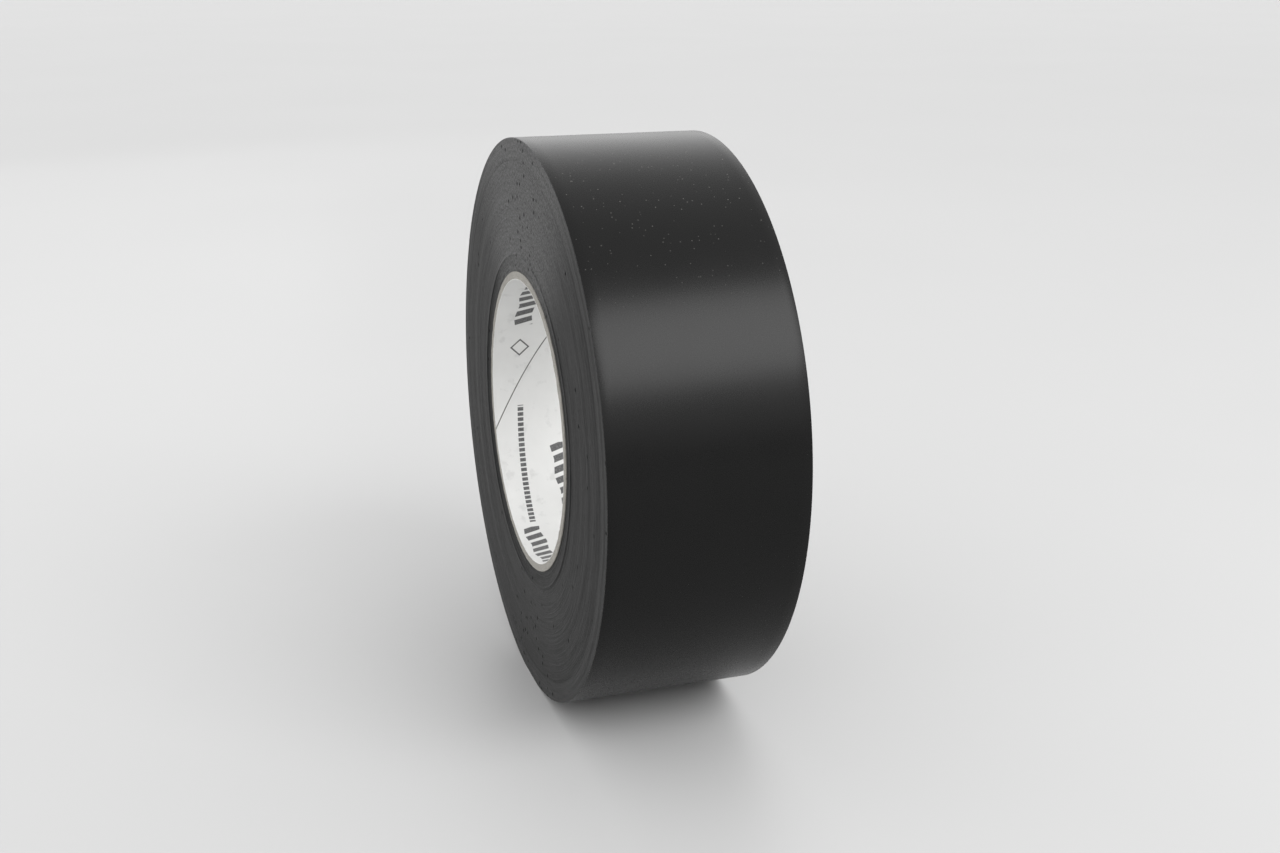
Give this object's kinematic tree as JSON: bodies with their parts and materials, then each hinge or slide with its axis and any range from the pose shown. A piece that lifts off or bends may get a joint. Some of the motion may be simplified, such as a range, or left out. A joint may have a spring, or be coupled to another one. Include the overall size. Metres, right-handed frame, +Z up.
{
  "type": "electrical tape roll",
  "caption": "Wide roll of black PVC insulating tape wound on a spiral paper core with a white paper liner; its free end peels off.",
  "frame": {"origin": "centre of the core's bore, half way across the roll's width", "axes": "+Y along the bore, +Z up, the roll standing on its tread"},
  "size_m": [0.1497, 0.05, 0.1495],
  "materials": {
    "tape_film": "satin black PVC film",
    "tape_edge": "matt dark grey wound edges",
    "tape_adhesive": "tacky glossy black adhesive",
    "core_board": "raw grey-brown board",
    "liner_paper": "smooth white paper with plain grey print"
  },
  "bodies": {
    "roll": {"core_liner": "liner_paper", "core_ply_inner": "core_board", "core_ply_middle": "core_board", "core_ply_outer": "core_board", "core_wrap": "core_board", "inner_turns": "tape_edge", "body_turns": "tape_edge", "outer_turn_film": "tape_film", "outer_turn_adhesive": "tape_adhesive"},
    "free_end_root": {"free_end_film_1": "tape_film", "free_end_adhesive_1": "tape_adhesive"},
    "free_end_middle": {"free_end_film_2": "tape_film", "free_end_adhesive_2": "tape_adhesive"},
    "free_end_tip": {"free_end_film_3": "tape_film", "free_end_adhesive_3": "tape_adhesive"}
  },
  "joints": [
    {"name": "free_end_peel", "type": "hinge", "parent": "roll", "child": "free_end_root", "pos_m": [-0.01944, 0, 0.07241], "axis": [0, 1, 0], "range_deg": [0, 110]},
    {"name": "free_end_curl_middle", "type": "hinge", "parent": "free_end_root", "child": "free_end_middle", "pos_m": [-0.03752, 0, 0.06492], "axis": [0, 1, 0], "range_deg": [0, 38.5]},
    {"name": "free_end_curl_tip", "type": "hinge", "parent": "free_end_middle", "child": "free_end_tip", "pos_m": [-0.05305, 0, 0.05301], "axis": [0, 1, 0], "range_deg": [0, 27.5]}
  ],
  "couplings": [
    {"joint": "free_end_curl_middle", "follows": "free_end_peel", "ratio": 0.35},
    {"joint": "free_end_curl_tip", "follows": "free_end_peel", "ratio": 0.25}
  ]
}
